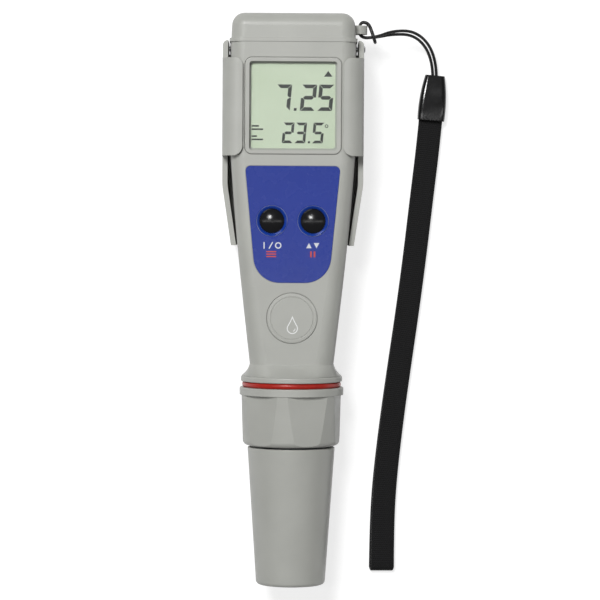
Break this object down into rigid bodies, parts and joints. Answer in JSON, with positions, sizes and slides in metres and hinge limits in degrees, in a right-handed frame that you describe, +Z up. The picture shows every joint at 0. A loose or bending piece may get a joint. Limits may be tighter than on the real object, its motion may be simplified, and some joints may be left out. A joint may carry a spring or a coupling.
{
  "type": "pocket ph tester",
  "caption": "Pocket pH tester with a display, two buttons, a clip frame, a screwed electrode under a protective cap, and a wrist strap on a thin cord.",
  "frame": {"origin": "on the table that the tester lies on, under the middle of its length and of its width", "axes": "+Z up, out of the display; +Y along the tester towards its battery cap; +X to the reader's right"},
  "size_m": [0.0693, 0.1756, 0.032],
  "materials": {
    "housing_grey": "fine matt moulding",
    "lever_grey": "fine matt moulding",
    "label_blue": "printed film",
    "ring_blue": "smooth",
    "button_black": "glossy rubber",
    "window_clear": "clear and polished",
    "display_glass": "grey green liquid crystal",
    "holder_white": "plain moulding",
    "seal_red": "smooth rubber",
    "seal_black": "smooth rubber",
    "board_green": "solder mask",
    "chip_black": "plain",
    "contact_gold": "plated",
    "cell_steel": "polished",
    "screw_steel": "plain",
    "electrode_grey": "plain moulding",
    "bulb_glass": "thin clear glass",
    "junction_white": "porous",
    "platinum": "polished",
    "cord_black": "smooth braided",
    "strap_black": "woven webbing",
    "ferrule_black": "glossy"
  },
  "bodies": {
    "tester_body": {"main_housing": "housing_grey", "window_bezel": "housing_grey", "display_window": "window_clear", "front_label": "label_blue", "button_rings": "ring_blue", "seal_badge": "housing_grey", "lcd_panel": "display_glass", "zebra_strips": "seal_black", "lcd_holder": "holder_white", "circuit_board": "board_green", "board_chips": "chip_black", "tact_switches": "chip_black", "electrode_socket": "chip_black", "socket_tails": "contact_gold", "sensor_lead": "contact_gold", "battery_cells": "cell_steel", "battery_carrier": "chip_black", "battery_contacts": "screw_steel", "neck_oring": "seal_red", "clip_frame": "housing_grey", "clip_pin": "screw_steel"},
    "power_button": {"power_button": "button_black"},
    "set_button": {"set_button": "button_black"},
    "battery_cap": {"battery_cap": "housing_grey", "cap_gasket": "seal_black", "cap_screws": "screw_steel", "lanyard_cord": "cord_black", "strap_ferrule": "ferrule_black", "wrist_strap": "strap_black"},
    "pocket_clip": {"clip_lever": "lever_grey", "clip_spring": "screw_steel"},
    "electrode": {"electrode_body": "electrode_grey", "plug_seal": "seal_black", "cap_seal": "seal_black", "glass_bulb": "bulb_glass", "temperature_probe": "screw_steel", "orp_pin": "platinum", "reference_junction": "junction_white", "contact_pins": "contact_gold"},
    "collar": {"collar": "housing_grey"},
    "sensor_cap": {"protective_cap": "housing_grey"}
  },
  "joints": [
    {"name": "power_button_press", "type": "slide", "parent": "tester_body", "child": "power_button", "axis": [0, 0, -1], "range_m": [0, 0.0005], "stiffness_N_per_m": 400, "springref_m": -0.0004},
    {"name": "set_button_press", "type": "slide", "parent": "tester_body", "child": "set_button", "axis": [0, 0, -1], "range_m": [0, 0.0005], "stiffness_N_per_m": 400, "springref_m": -0.0004},
    {"name": "battery_cap_lift", "type": "slide", "parent": "tester_body", "child": "battery_cap", "axis": [0, 1, 0], "range_m": [0, 0.02]},
    {"name": "pocket_clip_open", "type": "hinge", "parent": "tester_body", "child": "pocket_clip", "pos_m": [0, 0.0778, 0.0017], "axis": [1, 0, 0], "range_deg": [0, 12], "stiffness_Nm_per_rad": 0.2, "springref_deg": -11.46, "deforming": ["clip_spring"]},
    {"name": "collar_turn", "type": "hinge", "parent": "electrode", "child": "collar", "pos_m": [0, -0.036, 0.016], "axis": [0, -1, 0], "range_deg": [0, 905]},
    {"name": "electrode_slide", "type": "slide", "parent": "tester_body", "child": "electrode", "axis": [0, -1, 0], "range_m": [0, 0.005]},
    {"name": "sensor_cap_pull", "type": "slide", "parent": "electrode", "child": "sensor_cap", "axis": [0, -1, 0], "range_m": [0, 0.04]}
  ],
  "couplings": [
    {"joint": "collar_turn", "follows": "electrode_slide", "rad_per_m": 3141.6}
  ]
}
